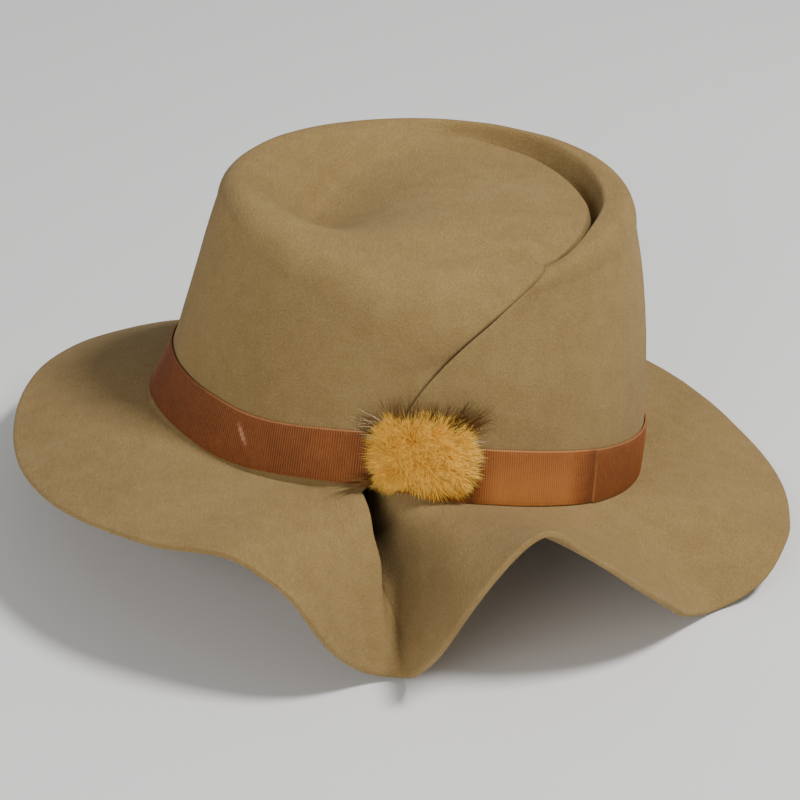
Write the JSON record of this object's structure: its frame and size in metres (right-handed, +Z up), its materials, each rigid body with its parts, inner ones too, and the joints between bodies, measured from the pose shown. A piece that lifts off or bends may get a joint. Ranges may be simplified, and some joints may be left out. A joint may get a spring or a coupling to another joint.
{
  "type": "wool felt hat",
  "caption": "Wool felt hat with a folded and dented oval crown, a waved brim, a ribbon band and a patch of fur at the front.",
  "frame": {"origin": "middle of the bounding box in plan, on the surface that the hat rests on", "axes": "+X to the wearer's left, which is the longest side, +Z up from the surface, -Y to the front, where the fur patch sits"},
  "size_m": [0.3274, 0.2908, 0.1456],
  "materials": {
    "wool_felt": "khaki tan wool felt, matt with a short nap",
    "grosgrain_ribbon": "rust brown ribbed ribbon with a low sheen",
    "golden_fur": "golden underfur with dark brown guard hairs"
  },
  "bodies": {
    "root": {"felt_body": "wool_felt", "ribbon_band": "grosgrain_ribbon", "fur_patch": "golden_fur"}
  },
  "joints": []
}
